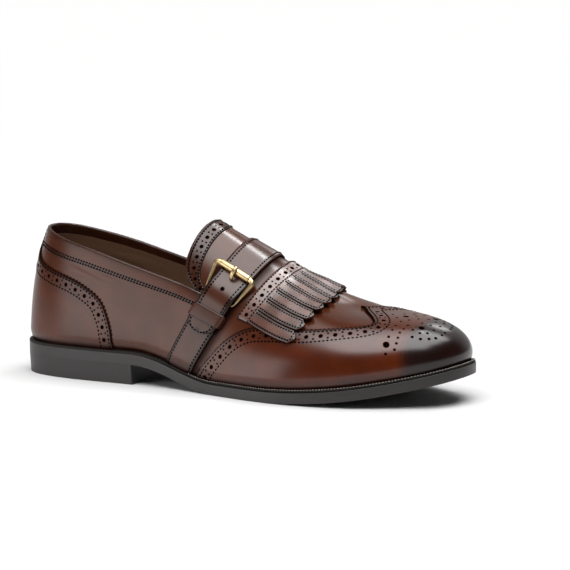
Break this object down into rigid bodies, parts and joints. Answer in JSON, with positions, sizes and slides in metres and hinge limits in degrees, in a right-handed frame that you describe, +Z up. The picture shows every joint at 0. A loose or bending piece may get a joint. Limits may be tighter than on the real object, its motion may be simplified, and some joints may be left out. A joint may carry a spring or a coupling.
{
  "type": "kiltie monk strap shoe",
  "caption": "Right wing-tip brogue slip-on shoe with fringed kiltie, instep strap with roller buckle, hollow leather upper, welted sole and stacked heel block.",
  "frame": {"origin": "middle of the overall box, on the floor under the shoe", "axes": "+X from the heel to the toe, +Y towards the inner side of the foot, +Z up"},
  "size_m": [0.3, 0.1037, 0.0999],
  "materials": {
    "upper_leather": "antiqued polished leather",
    "wing_leather": "antiqued polished leather, burnished toe",
    "counter_leather": "antiqued polished leather",
    "strap_leather": "antiqued polished leather",
    "kiltie_leather": "antiqued polished leather",
    "sole_leather": "dark satin edge dressing",
    "heel_rubber": "dark satin",
    "insole_leather": "plain lining leather",
    "buckle_brass": "aged brass"
  },
  "bodies": {
    "root": {"upper": "upper_leather", "wing_cap": "wing_leather", "counter": "counter_leather", "strap_base": "strap_leather", "strap": "strap_leather", "keeper": "strap_leather", "kiltie": "kiltie_leather", "outsole": "sole_leather", "welt": "sole_leather", "heel": "heel_rubber", "insole": "insole_leather", "buckle_frame": "buckle_brass", "buckle_roller": "buckle_brass", "buckle_prong": "buckle_brass"}
  },
  "joints": []
}
